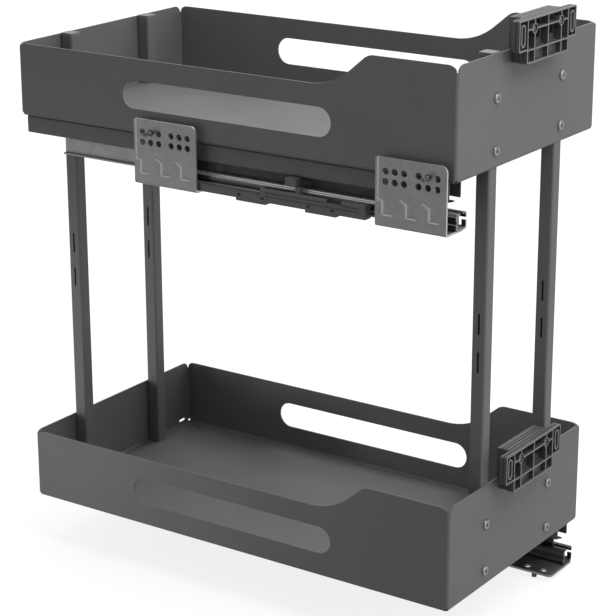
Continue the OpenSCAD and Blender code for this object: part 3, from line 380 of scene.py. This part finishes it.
def add_head(screw, head, height):
    """A pan head that stands on the origin, rounded at its rim, with a cross recess."""
    bmesh.ops.create_cone(screw, cap_ends=True, segments=HEAD_SEGMENTS, radius1=head / 2, radius2=head / 2,
                          depth=height, matrix=Matrix.Translation((0, 0, height / 2)))
    rim = [edge for edge in screw.edges if all(vert.co.z > height / 2 for vert in edge.verts)]
    bmesh.ops.bevel(screw, geom=rim, offset=height * HEAD_ROUND_SHARE, affect="EDGES",
                    segments=HEAD_ROUND_STEPS, profile=0.5, material=-1)
    top = max(screw.faces, key=lambda face: face.calc_center_median().z)
    cut_recess(screw, top, head * RECESS_WIDTH_SHARE, head * RECESS_REACH_SHARE, height * RECESS_DEPTH_SHARE)


def add_shank(screw, shank, reach):
    """A tapering core below the origin, with one ridge wound round it as the thread."""
    core = shank / 2 - THREAD_HEIGHT
    bmesh.ops.create_cone(screw, cap_ends=True, segments=TURN_STEPS, radius1=core / 2, radius2=core,
                          depth=reach, matrix=Matrix.Translation((0, 0, -reach / 2)))
    root = core * THREAD_ROOT_SHARE
    ridge = [screw.verts.new((x, 0, -reach + share * THREAD_PITCH)) for x, share in (
        (root, THREAD_START), (shank / 2, THREAD_CREST), (root, THREAD_END))]
    profile = screw.faces.new(ridge)
    turns = int(reach / THREAD_PITCH) - 1
    bmesh.ops.spin(screw, geom=[profile, *profile.edges, *profile.verts], cent=(0, 0, 0), axis=(0, 0, 1),
                   dvec=(0, 0, THREAD_PITCH / TURN_STEPS), angle=math.tau * turns, steps=TURN_STEPS * turns)


def add_pan_screw(mesh, place, direction, head, height, shank, reach):
    """A screw whose head is seated at place and points along direction."""
    screw = bmesh.new()
    add_head(screw, head, height)
    add_shank(screw, shank, reach)
    bmesh.ops.recalc_face_normals(screw, faces=screw.faces)
    turn = Vector(direction).to_track_quat("Z", "Y").to_matrix().to_4x4()
    bmesh.ops.transform(screw, matrix=Matrix.Translation(place) @ turn, verts=screw.verts)
    data = bpy.data.meshes.new("screw")
    screw.to_mesh(data)
    screw.free()
    mesh.from_mesh(data)
    bpy.data.meshes.remove(data)


def dress_screws(node, finish, screw, seats):
    """Stands detailed screws for a CAD node's plain ones; seats are (place, direction) pairs."""
    mesh = bmesh.new()
    for place, direction in seats:
        add_pan_screw(mesh, place, direction, **screw)
    for face in mesh.faces:
        face.smooth = True
    for edge in mesh.edges:
        edge.smooth = not edge.link_faces or edge.calc_face_angle(0) < math.radians(SMOOTH_DEGREES)
    data = bpy.data.meshes.new(node + "_dressed")
    mesh.to_mesh(data)
    mesh.free()
    data.materials.append(finish)
    piece = bpy.data.objects.new(node + "_dressed", data)
    bpy.context.scene.collection.objects.link(piece)
    body = nodes[node]["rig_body"]
    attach(piece, body)
    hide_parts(node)


def ends(low, high, inset):
    return low + inset, high - inset


def dress_tray_screws(node):
    """Two rows of two on the front and the rear wall of a tray."""
    low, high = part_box(node)
    radius, height = TRAY_SCREW["head"] / 2, TRAY_SCREW["height"]
    dress_screws(node, screw_zinc, TRAY_SCREW, [
        (Vector((x, y, z)), (0, way, 0))
        for x in ends(low.x, high.x, radius) for z in ends(low.z, high.z, radius)
        for y, way in ((low.y + height, -1), (high.y - height, 1))])


def dress_door_plate_screws(node):
    """Two side by side in the upper door plate and two in the lower one."""
    low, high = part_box(node)
    radius, height = DOOR_SCREW["head"] / 2, DOOR_SCREW["height"]
    dress_screws(node, screw_zinc, DOOR_SCREW, [
        (Vector((x, low.y + height, z)), (0, -1, 0))
        for x in ends(low.x, high.x, radius) for z in ends(low.z, high.z, radius)])


def dress_fixing_screws(node):
    """One wood screw in each side plate, with its head on the plate's inner face."""
    low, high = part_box(node)
    radius, height = WOOD_SCREW["head"] / 2, WOOD_SCREW["height"]
    dress_screws(node, dark_zinc, WOOD_SCREW, [
        (Vector((high.x - height, y, (low.z + high.z) / 2)), (1, 0, 0)) for y in ends(low.y, high.y, radius)])


dress_tray_screws("upper_tray_screws")
dress_tray_screws("lower_tray_screws")
dress_door_plate_screws("door_plate_screws")
dress_fixing_screws("fixing_screws")

# The room

FLOOR_SIDE = 6
FLOOR_DROP = 0.5 * MM
FLOOR_BOUNCE = "#606060"
FLOOR_PAINT = "#808080"
# The floor's glow, near its middle and far out, in metres, and the world's light from -X and from +X
NEAR_GLOW, FAR_GLOW = 0.84, 0.96
NEAR_REACH, FAR_REACH = 0.6, 2.4
NEAR_WORLD, FAR_WORLD = 0.16, 1.05

# Each lamp's place and aim are in metres from the basket's middle, its size in metres and its power in watts
LAMPS = {
    "overhead": dict(place=(0.1, 0, 1.7), aim=(0, 0, 0), size=1.6, power=14),
    "far side": dict(place=(1.1, -0.1, 1.2), aim=(0, 0, -0.2), size=0.7, power=7),
    "front": dict(place=(-0.2, -0.95, 1.15), aim=(0, 0, 0.1), size=0.7, power=10),
    "fill": dict(place=(0.1, -2.2, 0.1), aim=(0, 0, 0), size=1.2, power=8),
    "side": dict(place=(-1.1, 0.55, -0.15), aim=(-0.12, 0.24, -0.17), size=0.3, power=0.2, spread=32),
}


def seen_ray(owner):
    """1 for a ray from the camera, a reflection or a see-through surface, 0 for the light that things get."""
    path = add_node(owner, "LightPath", {}).outputs
    seen = path["Is Camera Ray"]
    for name in ("Is Glossy Ray", "Is Transmission Ray"):
        seen = add_node(owner, "Math", {0: seen, 1: path[name]}, operation="MAXIMUM").outputs[0]
    return seen


def floor_paint():
    """Looks white and keeps the object's shadow, but throws little light up at it."""
    paint = new_material("studio_floor")
    place = add_node(paint, "TexCoord", {}).outputs["Object"]
    reach = add_node(paint, "VectorMath", {0: place}, operation="LENGTH").outputs["Value"]
    glow = add_node(paint, "Emission", {"Strength": add_node(paint, "MapRange", {
        "Value": reach, "From Min": NEAR_REACH, "From Max": FAR_REACH,
        "To Min": NEAR_GLOW, "To Max": FAR_GLOW}).outputs[0]})
    shaded = add_node(paint, "BsdfDiffuse", {"Color": linear(FLOOR_PAINT)})
    shown = add_node(paint, "AddShader", {0: glow.outputs[0], 1: shaded.outputs[0]})
    bounce = add_node(paint, "BsdfDiffuse", {"Color": linear(FLOOR_BOUNCE)})
    return close_material(paint, add_node(paint, "MixShader", {
        0: seen_ray(paint), 1: bounce.outputs[0], 2: shown.outputs[0]}))


def add_floor():
    mesh = bmesh.new()
    bmesh.ops.create_grid(mesh, x_segments=1, y_segments=1, size=FLOOR_SIDE / 2)
    bmesh.ops.translate(mesh, verts=mesh.verts, vec=(0, 0, cad_box[0].z - FLOOR_DROP))
    data = bpy.data.meshes.new("floor")
    mesh.to_mesh(data)
    mesh.free()
    data.materials.append(floor_paint())
    floor = bpy.data.objects.new("floor", data)
    bpy.context.scene.collection.objects.link(floor)


def add_light(name, place, aim, size, power, spread=180):
    lamp = bpy.data.lights.new(name, "AREA")
    lamp.shape, lamp.size, lamp.energy, lamp.spread = "SQUARE", size, power, math.radians(spread)
    light = bpy.data.objects.new(name, lamp)
    light.location = middle + Vector(place)
    target = middle + Vector(aim)
    light.rotation_euler = (target - light.location).to_track_quat("-Z", "Y").to_euler()
    bpy.context.scene.collection.objects.link(light)


def add_world():
    """A pale room that lights from its far side, behind the basket, and looks white."""
    world = bpy.data.worlds.new("studio")
    bpy.context.scene.world = world
    world.use_nodes = True
    world.node_tree.nodes.clear()
    direction = add_node(world, "TexCoord", {}).outputs["Generated"]
    across = add_node(world, "SeparateXYZ", {"Vector": direction}).outputs["X"]
    light = add_node(world, "MapRange", {"Value": across, "From Min": -1, "From Max": 1,
                                         "To Min": NEAR_WORLD, "To Max": FAR_WORLD}).outputs[0]
    shown = add_node(world, "MapRange", {"Value": seen_ray(world), "To Min": light, "To Max": 1}).outputs[0]
    background = add_node(world, "Background", {"Color": (1, 1, 1, 1), "Strength": shown})
    add_node(world, "OutputWorld", {"Surface": background.outputs[0]})


add_world()
add_floor()
for name, lamp in LAMPS.items():
    add_light(name, **lamp)
bpy.context.scene.view_settings.view_transform = "Standard"
